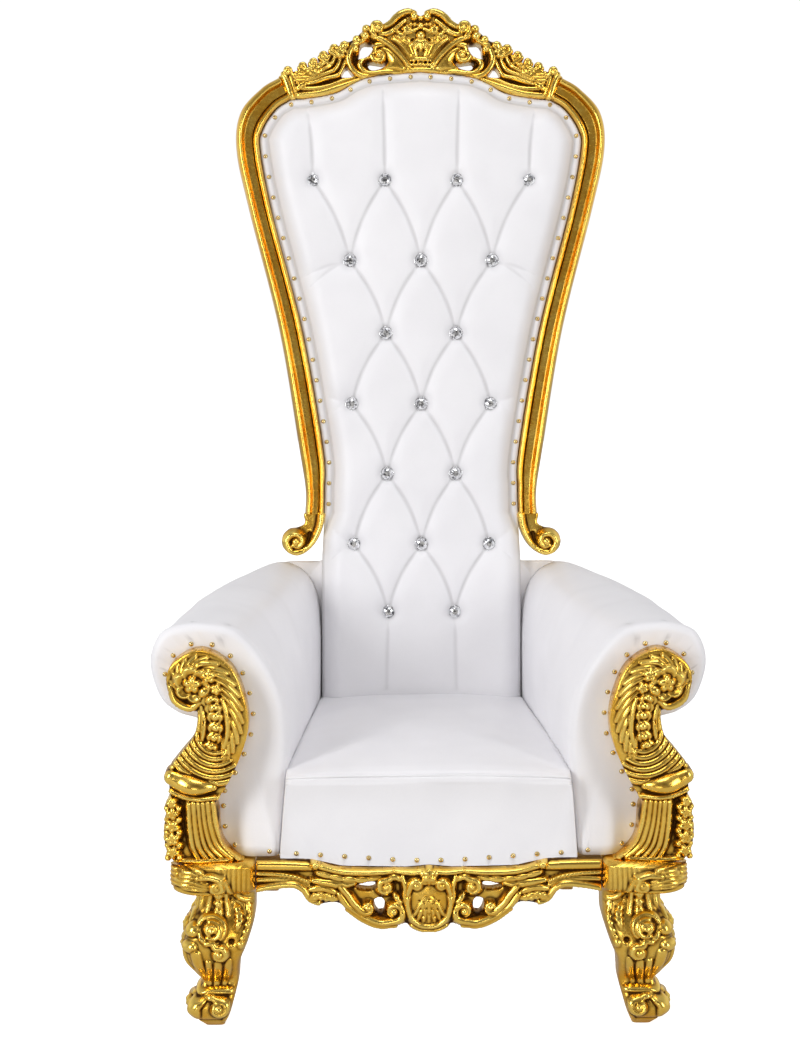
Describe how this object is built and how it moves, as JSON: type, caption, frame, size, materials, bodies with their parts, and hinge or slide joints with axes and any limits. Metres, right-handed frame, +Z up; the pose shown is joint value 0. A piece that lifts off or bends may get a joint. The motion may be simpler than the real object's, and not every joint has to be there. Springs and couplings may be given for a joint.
{
  "type": "throne",
  "caption": "High-back throne chair with carved and gilded frame, pierced crest and apron, scrolled arms, buttoned white leather back and upholstered seat.",
  "frame": {"origin": "on the floor, under the middle of the throne's bounding box", "axes": "+Z up, -Y towards the front, +X to the right as seen from the front"},
  "size_m": [0.956, 0.8122, 1.8002],
  "materials": {
    "gilt_carving": "carved wood under burnished gold leaf, darker in the recesses",
    "white_leather": "fine-grained, soft sheen",
    "crystal": "faceted clear crystal over a silvered back"
  },
  "bodies": {
    "root": {"crest_rail": "gilt_carving", "front_rail": "gilt_carving", "rear_rail": "gilt_carving", "back_stile_left": "gilt_carving", "back_stile_right": "gilt_carving", "arm_post_left": "gilt_carving", "arm_post_right": "gilt_carving", "front_leg_left": "gilt_carving", "front_leg_right": "gilt_carving", "side_rail_left": "gilt_carving", "side_rail_right": "gilt_carving", "rear_leg_left": "gilt_carving", "rear_leg_right": "gilt_carving", "back_cushion": "white_leather", "outside_back": "white_leather", "seat_cushion": "white_leather", "arm_left": "white_leather", "arm_right": "white_leather", "back_button_01": "crystal", "back_button_02": "crystal", "back_button_03": "crystal", "back_button_04": "crystal", "back_button_05": "crystal", "back_button_06": "crystal", "back_button_07": "crystal", "back_button_08": "crystal", "back_button_09": "crystal", "back_button_10": "crystal", "back_button_11": "crystal", "back_button_12": "crystal", "back_button_13": "crystal", "back_button_14": "crystal", "back_button_15": "crystal", "back_button_16": "crystal", "back_button_17": "crystal", "back_button_18": "crystal", "back_button_19": "crystal"}
  },
  "joints": []
}
